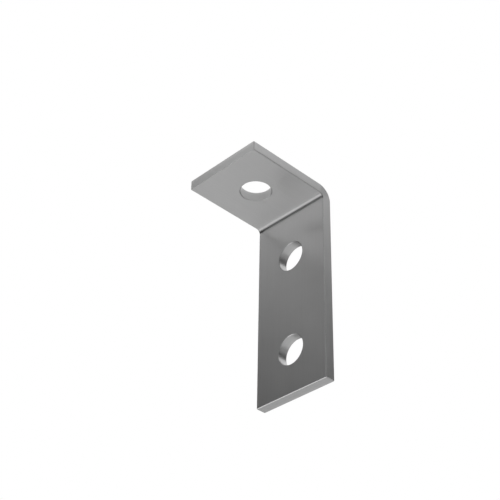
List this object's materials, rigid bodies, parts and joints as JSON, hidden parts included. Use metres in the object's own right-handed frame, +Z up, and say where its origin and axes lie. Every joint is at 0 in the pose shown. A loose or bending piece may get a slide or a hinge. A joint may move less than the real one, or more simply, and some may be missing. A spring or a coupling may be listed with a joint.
{
  "type": "strut angle fitting",
  "caption": "Flat bar folded to a right angle, with one bolt hole in the short leg and two in the long leg, for joining a strut beam to a strut post.",
  "frame": {"origin": "midway between the two holes of the long leg, on that leg's outer face, which seats against the post", "axes": "+Z up along the long leg towards the fold, +Y out of the long leg's seating face into the post, +X across the bar"},
  "size_m": [0.04, 0.048, 0.098],
  "materials": {
    "zinc_plated_steel": "satin"
  },
  "bodies": {
    "root": {"angle_fitting": "zinc_plated_steel"}
  },
  "joints": []
}
